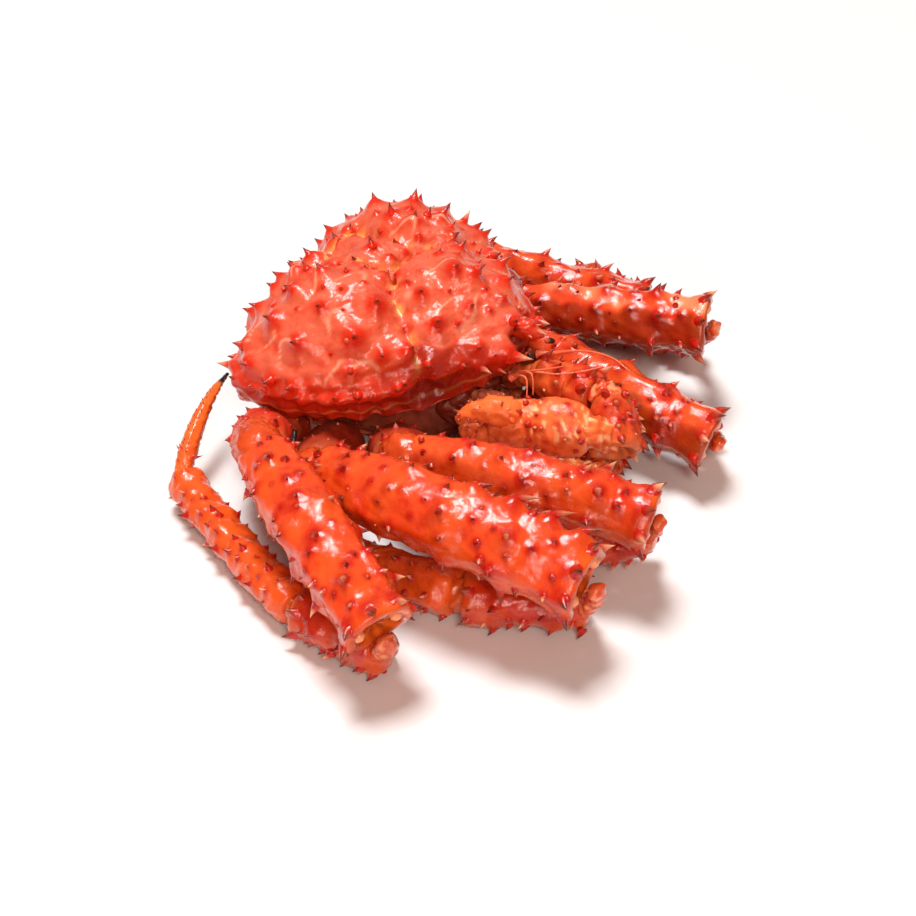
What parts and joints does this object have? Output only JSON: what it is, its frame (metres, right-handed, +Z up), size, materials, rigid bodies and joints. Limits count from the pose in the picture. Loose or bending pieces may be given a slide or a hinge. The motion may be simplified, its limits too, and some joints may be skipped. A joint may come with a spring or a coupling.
{
  "type": "whole cooked king crab",
  "caption": "Whole cooked king crab, legs folded forward beside the spiny domed back shell, lying as served without its dish.",
  "frame": {"origin": "middle of the bounding box's footprint, on the ground", "axes": "+Z up off the ground, -Y towards the crab's beak and knees, +X towards the crab's left"},
  "size_m": [0.3781, 0.2967, 0.108],
  "materials": {
    "back_shell": "wet, glossy cooked shell with salmon sheen",
    "leg_shell": "wet, glossy cooked shell, yellower below",
    "under_shell": "satin cooked shell and membrane",
    "claw_shell": "satin cooked shell with pale bumps",
    "leg_tip": "satin, black at the tip",
    "eye": "glossy dark",
    "feeler": "satin"
  },
  "bodies": {
    "root": {"abdomen": "under_shell", "antenna_left": "feeler", "antenna_right": "feeler", "carapace": "back_shell", "claw_left_base": "under_shell", "claw_left_carpus": "claw_shell", "claw_left_fixed": "claw_shell", "claw_left_free": "claw_shell", "claw_left_merus": "claw_shell", "claw_left_palm": "claw_shell", "claw_right_base": "under_shell", "claw_right_carpus": "claw_shell", "claw_right_fixed": "claw_shell", "claw_right_free": "claw_shell", "claw_right_merus": "claw_shell", "claw_right_palm": "claw_shell", "eye_left": "eye", "eye_right": "eye", "leg_l1_base": "under_shell", "leg_l1_carpus": "leg_shell", "leg_l1_dactyl": "leg_tip", "leg_l1_merus": "leg_shell", "leg_l1_propodus": "leg_shell", "leg_l2_base": "under_shell", "leg_l2_carpus": "leg_shell", "leg_l2_dactyl": "leg_tip", "leg_l2_merus": "leg_shell", "leg_l2_propodus": "leg_shell", "leg_l3_base": "under_shell", "leg_l3_carpus": "leg_shell", "leg_l3_dactyl": "leg_tip", "leg_l3_merus": "leg_shell", "leg_l3_propodus": "leg_shell", "leg_r1_base": "under_shell", "leg_r1_carpus": "leg_shell", "leg_r1_dactyl": "leg_tip", "leg_r1_merus": "leg_shell", "leg_r1_propodus": "leg_shell", "leg_r2_base": "under_shell", "leg_r2_carpus": "leg_shell", "leg_r2_dactyl": "leg_tip", "leg_r2_merus": "leg_shell", "leg_r2_propodus": "leg_shell", "leg_r3_base": "under_shell", "leg_r3_carpus": "leg_shell", "leg_r3_dactyl": "leg_tip", "leg_r3_merus": "leg_shell", "leg_r3_propodus": "leg_shell", "maxilliped_left": "under_shell", "maxilliped_right": "under_shell", "thorax": "under_shell"}
  },
  "joints": []
}
